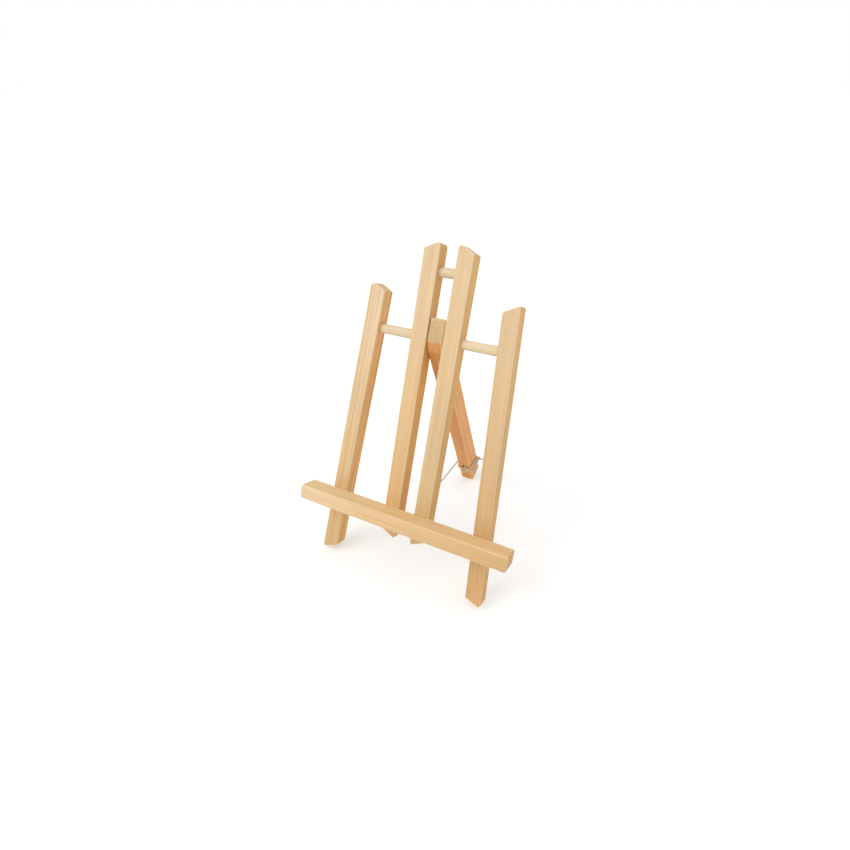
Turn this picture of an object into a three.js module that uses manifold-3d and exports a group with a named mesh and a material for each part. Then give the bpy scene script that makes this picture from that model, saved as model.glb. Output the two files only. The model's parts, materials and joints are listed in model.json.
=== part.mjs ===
// A folding table-top easel in millimetres, +Z up, its front towards -Y.
// Four uprights lean back as one flat panel, and a prop leg swings on the long dowel behind them.
// The origin is on the floor, under the middle of the wooden pieces.

import * as THREE from "three";
import { mergeVertices } from "three/addons/utils/BufferGeometryUtils.js";
import Module from "manifold-3d";

const wasm = await Module();
wasm.setup();

// Stance
const PANEL_LEAN = THREE.MathUtils.degToRad(20.2);
const LEG_OPENING = THREE.MathUtils.degToRad(45);

// Uprights
const STILE_WIDTH = 13.6;
const STILE_DEPTH = 14;
const MITRE = THREE.MathUtils.degToRad(25);
const OUTER_LENGTH = 240.8;
const OUTER_TIP_X = 77.4;
const OUTER_TIP_Z = -0.33;
const OUTER_SPLAY = THREE.MathUtils.degToRad(3.6);
const INNER_LENGTH = 244.6;
const INNER_TIP_X = 7.1;
const INNER_TIP_Z = 31.57;
const STILE_POINT_RADIUS = 2;

// Ledge
const LEDGE_LENGTH = 190;
const LEDGE_HEIGHT = 12.5;
const LEDGE_DEPTH = 18.5;
const LEDGE_BOTTOM_Z = 47.7;

// Dowels, both at half the uprights' depth
const DOWEL_RADIUS = 3.9;
const DOWEL_Y = STILE_DEPTH / 2;
const PIVOT_Z = 204.3;
const LONG_DOWEL_LENGTH = 119;
const TOP_DOWEL_Z = 254.4;
const TOP_DOWEL_LENGTH = 32;

// Prop leg
const LEG_WIDTH = 12.8;
const LEG_DEPTH = 18.2;
const LEG_TOP_SETBACK = 1;
const LEG_POINT_RADIUS = 2;
const LEG_NOSE_CUT = 4.5;
const LEG_NOSE_RADIUS = 6;
const CORD_HOLE_DOWN = 182.5;

// Nails, driven from the back of the uprights into the ledge
const NAIL_LENGTH = 24;
const NAIL_RADIUS = 0.9;
const NAIL_HEAD_RADIUS = 2;
const NAIL_HEAD_HEIGHT = 0.8;
const NAIL_POINT_LENGTH = 3;

// Limit cord, from a side hole low in the left inner upright to the prop leg
const CORD_RADIUS = 0.75;
const CORD_HOLE_RADIUS = 1.4;
const CORD_HOLE_Y = 9;
const CORD_HOLE_Z = 41;
const KNOT_RADIUS = 2.3;
const LOOP_DOWN = 188.5;
const LOOP_TILT = THREE.MathUtils.degToRad(21);
const LOOP_OUTER_CORNER = 3;
const LOOP_INNER_CORNER = 1.2;
const LEG_KNOT_DOWN = 196;
const TAIL_LENGTH = 12;
const TAIL_RISE = 1.5;
const LOOP_EDGE = 0.41;
const KNOT_SEGMENTS = 16;
const KNOT_RINGS = 12;

// The cord's route: out through the stile, round the edge of its side hole and straight to the leg
const CORD_ROUTE = [
  [-20.6, -63.5, 39.4],
  [-17.5, -63.5, 39.4],
  [-14, -63.5, 39.4],
  [-10.5, -63.5, 39.4],
  [-6.9, -63.5, 39.4],
  [-5.4, -63.1, 39.4],
  [-4.3, -62, 39.35],
  [-3.9, -60.5, 39.2],
  [-3.99, -58, 38.91],
  [-4.12, -55, 38.57],
  [-4.74, -40, 36.83],
  [-5.56, -20, 34.52],
  [-6.38, 0, 32.21],
  [-7.2, 20, 29.9],
  [-8.02, 40, 27.59],
  [-8.84, 60, 25.28],
  [-9.3, 71.1, 24],
];
const CORD_STEPS = 60;
const CORD_SIDES = 8;

// Fits and finish
const GAP = 0.1;
const CORD_GAP = 0.3;
const EDGE = 0.8;
const CORNER = 1.3;
const ROUND_SIDES = 32;
const MERGE_DISTANCE = 1e-5;

// How far a drill runs past the face or the nail point that it has to clear
const OVERSHOOT = 1;

// How much the rounding of the outer uprights' points raises their lowest wood
const STILE_TIP_EASE = 0.45;

const WOOD = { color: 0xdfc18f, roughness: 0.62, metalness: 0 };
const LEG_WOOD = { color: 0xd9a871, roughness: 0.66, metalness: 0 };
const DOWEL_WOOD = { color: 0xe6d0ab, roughness: 0.6, metalness: 0 };
const STEEL = { color: 0xa9a9a6, roughness: 0.35, metalness: 1 };
const STRING = { color: 0xd8cbb4, roughness: 0.95, metalness: 0 };

const panel = new THREE.Group();
const leg = new THREE.Group();
const easel = new THREE.Group();

function addMesh(parent, name, geometry, finish) {
  const mesh = new THREE.Mesh(geometry, new THREE.MeshStandardMaterial(finish));
  mesh.name = name;
  parent.add(mesh);
  return mesh;
}

function toSolid(geometry) {
  const bare = geometry.clone();
  bare.deleteAttribute("normal");
  bare.deleteAttribute("uv");
  const merged = mergeVertices(bare, MERGE_DISTANCE);
  return new wasm.Manifold(new wasm.Mesh({
    numProp: 3,
    vertProperties: new Float32Array(merged.attributes.position.array),
    triVerts: new Uint32Array(merged.index.array),
  }));
}

function toGeometry(solid) {
  const mesh = solid.getMesh();
  const geometry = new THREE.BufferGeometry();
  geometry.setAttribute("position", new THREE.BufferAttribute(mesh.vertProperties, 3));
  geometry.setIndex(new THREE.BufferAttribute(mesh.triVerts, 1));
  geometry.computeVertexNormals();
  return geometry;
}

// A closed outline through the points, each corner rounded to its own radius.
function roundedOutline(points, radii) {
  const shape = new THREE.Shape();
  points.forEach((point, i) => {
    const before = points.at(i - 1).clone().sub(point).normalize();
    const after = points[(i + 1) % points.length].clone().sub(point).normalize();
    const setback = radii[i] / Math.tan(before.angleTo(after) / 2);
    const start = before.multiplyScalar(setback).add(point);
    const end = after.multiplyScalar(setback).add(point);
    if (i === 0) {
      shape.moveTo(start.x, start.y);
    } else {
      shape.lineTo(start.x, start.y);
    }
    shape.quadraticCurveTo(point.x, point.y, end.x, end.y);
  });
  shape.closePath();
  return shape;
}

// A board with eased edges: the outline drawn in XY, its thickness from 0 upwards in Z.
function board(outline, thickness, edge = EDGE) {
  const geometry = new THREE.ExtrudeGeometry(outline, {
    depth: thickness - 2 * edge,
    bevelEnabled: true,
    bevelThickness: edge,
    bevelSize: edge,
    bevelOffset: -edge,
    bevelSegments: 2,
    curveSegments: 3,
  });
  return geometry.translate(0, 0, edge);
}

// Turns a board so that its outline stands in XZ and its thickness runs back from y = 0.
function facingFront(geometry, thickness) {
  return geometry.rotateX(Math.PI / 2).translate(0, thickness, 0);
}

function cylinderBetween(start, end, radius) {
  const axis = end.clone().sub(start);
  const upright = new THREE.Vector3(0, 1, 0);
  const turn = new THREE.Quaternion().setFromUnitVectors(upright, axis.clone().normalize());
  const middle = start.clone().add(end).multiplyScalar(0.5);
  return new THREE.CylinderGeometry(radius, radius, axis.length(), ROUND_SIDES)
    .applyQuaternion(turn)
    .translate(middle.x, middle.y, middle.z);
}

// Cuts a round hole whose two ends are given in the frame of the mesh's parent.
function drill(mesh, start, end, radius) {
  mesh.updateMatrix();
  const cutter = cylinderBetween(start, end, radius).applyMatrix4(mesh.matrix.clone().invert());
  mesh.geometry = toGeometry(toSolid(mesh.geometry).subtract(toSolid(cutter)));
}

// One upright: its long edge at x = 0 ends in a point at both ends, and side says where the wood lies.
function stileGeometry(length, side) {
  const rise = STILE_WIDTH * Math.tan(MITRE);
  const corners = [
    new THREE.Vector2(0, 0),
    new THREE.Vector2(side * STILE_WIDTH, rise),
    new THREE.Vector2(side * STILE_WIDTH, length - rise),
    new THREE.Vector2(0, length),
  ];
  const radii = corners.map(({ x }) => (x === 0 ? STILE_POINT_RADIUS : CORNER));
  if (side < 0) {
    corners.reverse();
    radii.reverse();
  }
  const outline = roundedOutline(corners, radii);
  return facingFront(board(outline, STILE_DEPTH), STILE_DEPTH);
}

function makeStiles() {
  const stiles = [];
  for (const [sideName, side] of [["left", -1], ["right", 1]]) {
    const outer = addMesh(panel, `outer_stile_${sideName}`, stileGeometry(OUTER_LENGTH, -side), WOOD);
    outer.position.set(side * OUTER_TIP_X, 0, OUTER_TIP_Z);
    outer.rotation.y = -side * OUTER_SPLAY;
    const inner = addMesh(panel, `inner_stile_${sideName}`, stileGeometry(INNER_LENGTH, side), WOOD);
    inner.position.set(side * INNER_TIP_X, 0, INNER_TIP_Z);
    stiles.push({ side, outer, inner });
  }
  return stiles;
}

function makeLedge() {
  const half = LEDGE_LENGTH / 2;
  const corners = [
    new THREE.Vector2(-half, 0),
    new THREE.Vector2(half, 0),
    new THREE.Vector2(half, LEDGE_HEIGHT),
    new THREE.Vector2(-half, LEDGE_HEIGHT),
  ];
  const outline = roundedOutline(corners, corners.map(() => CORNER));
  const ledge = addMesh(panel, "ledge", facingFront(board(outline, LEDGE_DEPTH), LEDGE_DEPTH), WOOD);
  ledge.position.set(0, -LEDGE_DEPTH - GAP, LEDGE_BOTTOM_Z);
  return ledge;
}

// A round rod along X, centred on x = 0.
function makeDowel(name, length, z) {
  const start = new THREE.Vector3(-length / 2, DOWEL_Y, z);
  const end = new THREE.Vector3(length / 2, DOWEL_Y, z);
  addMesh(panel, name, cylinderBetween(start, end, DOWEL_RADIUS), DOWEL_WOOD);
}

function drillDowelHoles(stiles) {
  const radius = DOWEL_RADIUS + GAP;
  const longReach = LONG_DOWEL_LENGTH / 2 + GAP;
  const topReach = TOP_DOWEL_LENGTH / 2 + GAP;
  const longEnds = [-longReach, longReach].map((x) => new THREE.Vector3(x, DOWEL_Y, PIVOT_Z));
  const topEnds = [-topReach, topReach].map((x) => new THREE.Vector3(x, DOWEL_Y, TOP_DOWEL_Z));
  for (const { outer, inner } of stiles) {
    drill(outer, ...longEnds, radius);
    drill(inner, ...longEnds, radius);
    drill(inner, ...topEnds, radius);
  }
}

// A nail standing on its point along Y, with its head's top at y = 0.
function nailGeometry() {
  const profile = [
    new THREE.Vector2(0, -NAIL_LENGTH),
    new THREE.Vector2(NAIL_RADIUS, -NAIL_LENGTH + NAIL_POINT_LENGTH),
    new THREE.Vector2(NAIL_RADIUS, -NAIL_HEAD_HEIGHT),
    new THREE.Vector2(NAIL_HEAD_RADIUS, -NAIL_HEAD_HEIGHT),
    new THREE.Vector2(NAIL_HEAD_RADIUS, 0),
    new THREE.Vector2(0, 0),
  ];
  return new THREE.LatheGeometry(profile, ROUND_SIDES / 2);
}

// Each nail's head lies flush with the back of its upright, on the ledge's middle line.
function makeNails(stiles, ledge) {
  const z = LEDGE_BOTTOM_Z + LEDGE_HEIGHT / 2;
  const outerX = OUTER_TIP_X - STILE_WIDTH / 2 - z * Math.tan(OUTER_SPLAY);
  const innerX = INNER_TIP_X + STILE_WIDTH / 2;
  for (const { side, outer, inner } of stiles) {
    const sideName = side < 0 ? "left" : "right";
    for (const [row, stile, x] of [["outer", outer, side * outerX], ["inner", inner, side * innerX]]) {
      const nail = addMesh(panel, `ledge_nail_${row}_${sideName}`, nailGeometry(), STEEL);
      nail.position.set(x, STILE_DEPTH - CORD_GAP, z);
      const back = new THREE.Vector3(x, STILE_DEPTH + OVERSHOOT, z);
      const headSeat = new THREE.Vector3(x, STILE_DEPTH - CORD_GAP - NAIL_HEAD_HEIGHT - GAP, z);
      const front = new THREE.Vector3(x, -OVERSHOOT, z);
      const pointSeat = new THREE.Vector3(x, STILE_DEPTH - NAIL_LENGTH - OVERSHOOT, z);
      drill(stile, back, headSeat, NAIL_HEAD_RADIUS + GAP);
      drill(stile, back, front, NAIL_RADIUS + GAP);
      drill(ledge, back, pointSeat, NAIL_RADIUS + GAP);
    }
  }
}

// The leg hangs down from the pivot. Its top is cut to lie just behind the panel's front when open,
// and the corner below that cut is planed off and rounded.
function makeLeg() {
  const half = LEG_DEPTH / 2;
  const faceDistance = DOWEL_Y - LEG_TOP_SETBACK;
  const cutZ = (y) => (y * Math.cos(LEG_OPENING) + faceDistance) / Math.sin(LEG_OPENING);
  const noseTopY = -half + LEG_NOSE_CUT * Math.sin(LEG_OPENING);
  const opening = LEG_OPENING - PANEL_LEAN;
  const pivotHeight = PIVOT_Z * Math.cos(PANEL_LEAN) + (STILE_DEPTH - DOWEL_Y) * Math.sin(PANEL_LEAN);
  const length = (pivotHeight - half * Math.sin(opening)) / Math.cos(opening) - STILE_TIP_EASE;
  const corners = [
    new THREE.Vector2(-half, -length),
    new THREE.Vector2(half, -length),
    new THREE.Vector2(half, cutZ(half)),
    new THREE.Vector2(noseTopY, cutZ(noseTopY)),
    new THREE.Vector2(-half, cutZ(-half) - LEG_NOSE_CUT),
  ];
  const outline = roundedOutline(corners, [CORNER, CORNER, LEG_POINT_RADIUS, CORNER, LEG_NOSE_RADIUS]);
  const sideways = new THREE.Matrix4().makeBasis(
    new THREE.Vector3(0, 1, 0),
    new THREE.Vector3(0, 0, 1),
    new THREE.Vector3(1, 0, 0),
  );
  const geometry = board(outline, LEG_WIDTH).translate(0, 0, -LEG_WIDTH / 2).applyMatrix4(sideways);
  const mesh = addMesh(leg, "rear_leg", geometry, LEG_WOOD);
  const pastSide = LEG_WIDTH;
  const pastFace = LEG_DEPTH;
  const sideHole = [-pastSide, pastSide].map((x) => new THREE.Vector3(x, 0, 0));
  const cordHole = [-pastFace, pastFace].map((y) => new THREE.Vector3(0, y, -CORD_HOLE_DOWN));
  drill(mesh, ...sideHole, DOWEL_RADIUS + GAP);
  drill(mesh, ...cordHole, CORD_HOLE_RADIUS);
}

// The cord's turn around the leg: a ring whose back lies lower than its front.
function makeLegLoop() {
  const thickness = 2 * CORD_RADIUS;
  const ringCorners = (margin) => {
    const x = LEG_WIDTH / 2 + margin;
    const y = LEG_DEPTH / 2 / Math.cos(LOOP_TILT) + margin;
    return [[-x, -y], [x, -y], [x, y], [-x, y]].map(([px, py]) => new THREE.Vector2(px, py));
  };
  const innerMargin = CORD_GAP;
  const outerMargin = CORD_GAP + thickness;
  const outline = roundedOutline(ringCorners(outerMargin), Array(4).fill(LOOP_OUTER_CORNER));
  outline.holes.push(roundedOutline(ringCorners(innerMargin), Array(4).fill(LOOP_INNER_CORNER)));
  const geometry = board(outline, thickness, LOOP_EDGE).translate(0, 0, -CORD_RADIUS);
  const loop = addMesh(leg, "leg_loop", geometry, STRING);
  loop.rotation.x = -LOOP_TILT;
  loop.position.z = -LOOP_DOWN;
}

// The knot behind the leg, with the cord's loose end standing out to the right.
function makeLegKnot() {
  const centre = new THREE.Vector3(LEG_WIDTH / 2, LEG_DEPTH / 2 + CORD_GAP + KNOT_RADIUS, -LEG_KNOT_DOWN);
  const tip = centre.clone().add(new THREE.Vector3(TAIL_LENGTH, 0, TAIL_RISE));
  const ball = new THREE.SphereGeometry(KNOT_RADIUS, KNOT_SEGMENTS, KNOT_RINGS)
    .translate(centre.x, centre.y, centre.z);
  const tail = cylinderBetween(centre, tip, CORD_RADIUS);
  addMesh(leg, "leg_knot", toGeometry(toSolid(ball).add(toSolid(tail))), STRING);
}

// The stopper knot on the outer side of the left inner upright.
function makeStileKnot(stiles) {
  const left = stiles.find(({ side }) => side < 0).inner;
  const outerFaceX = -INNER_TIP_X - STILE_WIDTH;
  const holeStart = new THREE.Vector3(outerFaceX - OVERSHOOT, CORD_HOLE_Y, CORD_HOLE_Z);
  const holeEnd = new THREE.Vector3(-INNER_TIP_X + OVERSHOOT, CORD_HOLE_Y, CORD_HOLE_Z);
  drill(left, holeStart, holeEnd, CORD_HOLE_RADIUS);
  const ball = new THREE.SphereGeometry(KNOT_RADIUS, KNOT_SEGMENTS, KNOT_RINGS);
  const knot = addMesh(panel, "stile_knot", ball, STRING);
  knot.position.set(outerFaceX - KNOT_RADIUS - CORD_GAP, CORD_HOLE_Y, CORD_HOLE_Z);
}

// The taut cord, an eight-sided tube along its route.
function makeCord() {
  const places = CORD_ROUTE.map((point) => new THREE.Vector3(...point));
  const path = new THREE.CatmullRomCurve3(places, false, "centripetal");
  const section = new THREE.Shape();
  for (let i = 0; i < CORD_SIDES; i += 1) {
    const angle = (i / CORD_SIDES) * 2 * Math.PI;
    const x = CORD_RADIUS * Math.cos(angle);
    const y = CORD_RADIUS * Math.sin(angle);
    if (i === 0) {
      section.moveTo(x, y);
    } else {
      section.lineTo(x, y);
    }
  }
  section.closePath();
  const tube = new THREE.ExtrudeGeometry(section, { steps: CORD_STEPS, extrudePath: path });
  addMesh(easel, "limit_cord", tube, STRING);
}

const stiles = makeStiles();
const ledge = makeLedge();
makeDowel("long_dowel", LONG_DOWEL_LENGTH, PIVOT_Z);
makeDowel("top_dowel", TOP_DOWEL_LENGTH, TOP_DOWEL_Z);
drillDowelHoles(stiles);
makeNails(stiles, ledge);
makeStileKnot(stiles);
makeLeg();
makeLegLoop();
makeLegKnot();

leg.position.set(0, DOWEL_Y, PIVOT_Z);
leg.rotation.x = LEG_OPENING;
panel.add(leg);
panel.rotation.x = -PANEL_LEAN;
easel.add(panel);

// Stands the wood on the floor, with the origin under its middle.
easel.updateMatrixWorld(true);
const wood = new THREE.Box3();
for (const name of ["ledge", "outer_stile_left", "inner_stile_right", "rear_leg"]) {
  wood.union(new THREE.Box3().setFromObject(easel.getObjectByName(name), true));
}
panel.position.set(0, -(wood.min.y + wood.max.y) / 2, -wood.min.z);
makeCord();

export default easel;
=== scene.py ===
import json
import math

import bmesh
import bpy
from mathutils import Matrix, Quaternion, Vector, noise


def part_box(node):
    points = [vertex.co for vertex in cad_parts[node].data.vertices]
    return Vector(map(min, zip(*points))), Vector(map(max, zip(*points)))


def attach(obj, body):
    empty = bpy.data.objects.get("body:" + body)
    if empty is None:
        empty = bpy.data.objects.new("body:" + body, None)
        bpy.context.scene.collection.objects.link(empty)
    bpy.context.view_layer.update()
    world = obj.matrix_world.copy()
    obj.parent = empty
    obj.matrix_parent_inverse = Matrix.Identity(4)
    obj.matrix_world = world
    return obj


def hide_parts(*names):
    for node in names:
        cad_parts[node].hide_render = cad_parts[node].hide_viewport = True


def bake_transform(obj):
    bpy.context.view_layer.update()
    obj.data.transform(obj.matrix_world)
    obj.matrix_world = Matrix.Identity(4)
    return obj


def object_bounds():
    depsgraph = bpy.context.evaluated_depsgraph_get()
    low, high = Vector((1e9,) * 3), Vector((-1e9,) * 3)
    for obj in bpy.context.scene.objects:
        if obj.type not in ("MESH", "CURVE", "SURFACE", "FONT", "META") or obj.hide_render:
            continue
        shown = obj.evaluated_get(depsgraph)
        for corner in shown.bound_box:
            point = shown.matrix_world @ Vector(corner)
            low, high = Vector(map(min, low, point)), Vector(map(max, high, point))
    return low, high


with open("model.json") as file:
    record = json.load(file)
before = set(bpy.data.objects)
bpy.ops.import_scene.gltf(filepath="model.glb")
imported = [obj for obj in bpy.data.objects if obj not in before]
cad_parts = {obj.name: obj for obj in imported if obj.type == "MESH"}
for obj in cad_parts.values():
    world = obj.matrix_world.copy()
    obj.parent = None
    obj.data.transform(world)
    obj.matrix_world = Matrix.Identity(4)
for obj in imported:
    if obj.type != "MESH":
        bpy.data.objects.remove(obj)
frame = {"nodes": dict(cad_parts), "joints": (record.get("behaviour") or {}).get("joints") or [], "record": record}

cad_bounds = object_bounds()
MM = 0.001

# The panel's own axes: across, back through its depth, and up along its slope.
ACROSS = Vector((1, 0, 0))
PANEL_UP = Vector(frame["record"]["mounts"][0]["axis"]).normalized()
PANEL_BACK = PANEL_UP.cross(ACROSS)
HINGE = Vector(frame["joints"][0]["pos_m"])

# The prop leg's axes: up along the leg, and its depth.
LEG_OPENING = math.radians(45)
LEG_UP = Quaternion(ACROSS, LEG_OPENING) @ PANEL_UP
LEG_BACK = LEG_UP.cross(ACROSS)

# Woodwork. Two of the uprights' points are more worn than the others.
MITRE = math.radians(25)
OUTER_SPLAY = math.radians(3.6)
CORNER_RADIUS = 1.3 * MM
POINT_RADIUS = 2 * MM
WORN_TOPS = {"outer_stile_left": 3.4 * MM, "inner_stile_left": 2.8 * MM}
LEG_NOSE_CUT = 4.5 * MM
LEG_NOSE_RADIUS = 6 * MM
LEG_CREASE_RADIUS = 1.5 * MM
LEG_POINT_RADIUS = 2 * MM
DOWEL_CHAMFER = 0.4 * MM
DOWEL_UNEVENNESS = 0.04 * MM
NAIL_SHANK_RADIUS = 0.9 * MM

# Sanding: how far the rims are eased, and how the easing grows from the leg's crease to its top
EDGE_EASE = 0.95 * MM
SOFT_EASE = 1.35 * MM
MOST_EASE = 1.45 * MM
SOFT_START = 3 * MM
SOFT_RUN = 5 * MM
RIM_STEPS = 5
OUTLINE_RUN = 5 * MM

# Holes. Points closer to each other than SAME_PLACE are joined after the cutting.
LEG_HOLE_RADIUS = 1.9 * MM
LEG_HOLE_DOWN = 182.8 * MM
CORD_HOLE_MARGIN = 0.65 * MM
NAIL_HOLE_RADIUS = 1 * MM
NAIL_HOLE_DEPTH = 30 * MM
NAIL_SEAT_DEPTH = 1.2 * MM
NAIL_SUNK = 0.3 * MM
HOLE_CHAMFER = 0.15 * MM
OUTSIDE = 2 * MM
OVERSHOOT = 4 * MM
FIT = 0.1 * MM
SAME_PLACE = 0.004 * MM

# String
CORD_RADIUS = 0.75 * MM
LAID_RADIUS = 0.86 * MM
CORD_PITCH = 4.6 * MM
CORD_STEP = CORD_PITCH / 11
STRAND_SIDES = 8
KNOT_SIZE = 1.9 * MM
KNOT_THICKNESS = 0.85 * MM

# The taut string leaves the upright's hole and turns back to the leg.
CORD_EXIT = Vector((-7.1, -63.5, 39.4)) * MM
CORD_ROUTE = [
    (-20.6, -63.5, 39.4),
    (-17.5, -63.5, 39.4),
    (-14, -63.5, 39.4),
    (-10.5, -63.5, 39.4),
    (-6.9, -63.5, 39.4),
    (-5.4, -63.1, 39.4),
    (-4.3, -62, 39.35),
    (-3.9, -60.5, 39.2),
    (-3.99, -58, 38.91),
    (-4.12, -55, 38.57),
    (-4.74, -40, 36.83),
    (-5.56, -20, 34.52),
    (-6.38, 0, 32.21),
    (-7.2, 20, 29.9),
    (-8.02, 40, 27.59),
    (-8.84, 60, 25.28),
    (-9.3, 71.1, 24),
]

# Places on the prop leg: across, back through its depth and down from the hinge, in millimetres.
# The string comes in at the left, goes twice round the leg and ends in the hole at the front.
WRAP_ROUTE = [
    (-8.3, 0.6, 187.2),
    (-7.6, 5.5, 189.6),
    (-7.3, 8.6, 190.9),
    (-6, 10.1, 191.6),
    (0, 10.2, 192),
    (5.9, 10.2, 192),
    (7.5, 9, 192.2),
    (8.3, 4.5, 191.4),
    (8.4, -2.5, 188.9),
    (7.9, -8.6, 187.2),
    (6.2, -10.7, 187.1),
    (3, -10.8, 187.7),
    (0, -10.4, 187.5),
    (-3.4, -10.2, 186.4),
    (-6, -10.1, 185.4),
    (-7.3, -8.6, 185.3),
    (-7.4, -3, 185.6),
    (-7.4, 4, 187.4),
    (-7.3, 8.6, 189),
    (-6, 10.2, 189.7),
    (0, 10.2, 189.9),
    (5.9, 10.2, 190.2),
    (7.3, 8.8, 190),
    (7.4, 4, 187.8),
    (7.4, -3, 184.6),
    (7.3, -8.6, 182.9),
    (6.2, -10.2, 183.4),
    (4.2, -10.6, 184.6),
    (2.4, -10.7, 184.4),
    (1.4, -10.2, 183.4),
    (1, -8.6, 182.8),
    (0.9, -5.6, 182.7),
]

# From the turns at the leg's back into the knot, and out of the knot to the loose end.
KNOT_CENTRE = (6.2, 11.6, 196)
KNOT_LEAD = [
    (0.4, 10.9, 191.2),
    (2.4, 11.6, 192.2),
    (4.2, 11.9, 193.4),
]
TAIL_ROUTE = [
    (8.5, 11.6, 195.3),
    (11.4, 11.5, 195.6),
    (14.6, 11.3, 195.3),
    (17.6, 11.2, 194.6),
]

# Camera
CAMERA_AZIMUTH = math.radians(27.06)
CAMERA_ELEVATION = math.radians(32.62)
CAMERA_LOCATION = Vector((163.67, -351.64, 357.09)) * MM
SENSOR = 36
FOCAL_LENGTH = 22.15

# Floor, in metres and shares of full white
FLOOR_HALF = 60.0
FLOOR_GREY = 0.6
FLOOR_GLOW = 0.42
FLOOR_GAP = 0.02 * MM

# Wood figure: how fine each noise is across and along the grain, and how far the rings wander
WANDER_GRAIN = (22, 22, 5)
BLOTCH_GRAIN = (60, 60, 14)
STREAK_GRAIN = (420, 420, 6)
FIBRE_GRAIN = (1500, 1500, 22)
FLECK_GRAIN = (2600, 2600, 90)
RING_WANDER = 4.5 * MM
YEAR_STEP = 7.31
FLECK_TINT = (0.72, 0.6, 0.45, 1)
# The colour of the sanded rims: partly the paler sanded wood, partly a painted highlight along the edges.
SANDED_HIGHLIGHT_WOOD = (0.93, 0.78, 0.56, 1)

# The tints of a wood: "end" on its end grain; "side", painted shade on the faces that look along the piece's own
# X;
# and "foot", painted shade that is darker and warmer towards the low end of its own Z.
PINE_TINTS = {
    "end": (1, 0.96, 0.88, 1),
    "side": (1.02, 0.81, 0.5, 1),
    "foot": (0.89, 0.78, 0.58, 1),
}
# The inner uprights get stronger painted shade on their sides, for the shade between the close-set uprights.
PLAIN_TINTS = {**PINE_TINTS, "side": (0.98, 0.8, 0.4, 1)}
MILD_TINTS = {**PINE_TINTS, "side": (1, 0.82, 0.44, 1), "foot": (0.88, 0.84, 0.68, 1)}
WARM_TINTS = {**PINE_TINTS, "side": (1.04, 0.84, 0.52, 1), "foot": (0.87, 0.72, 0.52, 1)}
LEDGE_TINTS = {
    "end": (0.95, 0.9, 0.8, 1),
    "side": (0.95, 0.95, 0.84, 1),
    "foot": (0.8, 0.69, 0.5, 1),
}
DOWEL_TINTS = {
    "end": (0.92, 0.86, 0.76, 1),
    "side": (1, 1, 1, 1),
    "foot": (1, 0.98, 0.95, 1),
}
# The leg's base colours are painted darker and more orange, as painted shade; "end" lifts its end grain back to a
# paler tan, and "side" darkens its front and back faces with more painted shade.
LEG_TINTS = {
    "end": (0.81, 1.17, 1.8, 1),
    "side": (0.86, 0.81, 0.72, 1),
    "foot": (0.97, 0.9, 0.82, 1),
}


def make_camera():
    data = bpy.data.cameras.new("camera")
    data.sensor_width = SENSOR
    data.lens = FOCAL_LENGTH
    data.clip_start = 0.01
    camera = bpy.data.objects.new("camera", data)
    back = Vector((
        math.sin(CAMERA_AZIMUTH) * math.cos(CAMERA_ELEVATION),
        -math.cos(CAMERA_AZIMUTH) * math.cos(CAMERA_ELEVATION),
        math.sin(CAMERA_ELEVATION),
    ))
    camera.location = CAMERA_LOCATION
    camera.rotation_euler = back.to_track_quat("Z", "Y").to_euler()
    bpy.context.scene.collection.objects.link(camera)
    bpy.context.scene.camera = camera


# ---------------------------------------------------------------- shader helpers


class Shader:
    """A small wrapper that adds nodes to one material and links them."""

    def __init__(self, name):
        self.material = bpy.data.materials.new(name)
        self.material.use_nodes = True
        self.tree = self.material.node_tree
        self.bsdf = self.tree.nodes["Principled BSDF"]

    def node(self, kind, inputs=None, **settings):
        made = self.tree.nodes.new(kind)
        for key, value in settings.items():
            setattr(made, key, value)
        for key, value in (inputs or {}).items():
            self.feed(made.inputs[key], value)
        return made

    def feed(self, socket, value):
        if isinstance(value, bpy.types.NodeSocket):
            self.tree.links.new(value, socket)
        else:
            socket.default_value = value

    def math(self, operation, *values):
        made = self.node("ShaderNodeMath", operation=operation)
        for socket, value in zip(made.inputs, values):
            self.feed(socket, value)
        return made.outputs[0]

    def remap(self, value, low, high, new_low, new_high):
        made = self.node("ShaderNodeMapRange")
        for socket, number in zip(made.inputs, (value, low, high, new_low, new_high)):
            self.feed(socket, number)
        return made.outputs[0]

    def split(self, vector):
        return self.node("ShaderNodeSeparateXYZ", {0: vector}).outputs

    def noise(self, vector, scale, detail=3.0, roughness=0.5):
        inputs = {"Vector": vector, "Scale": scale, "Detail": detail, "Roughness": roughness}
        return self.node("ShaderNodeTexNoise", inputs).outputs[0]

    def stretch(self, vector, scale, offset=(0, 0, 0), turn=(0, 0, 0)):
        inputs = {"Vector": vector, "Scale": scale, "Location": offset, "Rotation": turn}
        return self.node("ShaderNodeMapping", inputs).outputs[0]

    def mix(self, factor, first, second, blend_type="MIX"):
        made = self.node("ShaderNodeMix", data_type="RGBA", blend_type=blend_type)
        for index, value in ((0, factor), (6, first), (7, second)):
            self.feed(made.inputs[index], value)
        return made.outputs[2]

    def tint(self, factor, colour, tint):
        return self.mix(factor, colour, self.mix(1.0, colour, tint, "MULTIPLY"))

    def bump(self, height, distance, strength=1.0, normal=None):
        inputs = {"Height": height, "Distance": distance, "Strength": strength}
        made = self.node("ShaderNodeBump", inputs)
        if normal is not None:
            self.feed(made.inputs["Normal"], normal)
        return made.outputs[0]


def srgb(red, green, blue):
    """A colour given as 0 to 255 display values, in the linear values that shaders take."""

    def linear(value):
        share = value / 255
        return share / 12.92 if share <= 0.04045 else ((share + 0.055) / 1.055) ** 2.4

    return (linear(red), linear(green), linear(blue), 1.0)


# ---------------------------------------------------------------- materials


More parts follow.
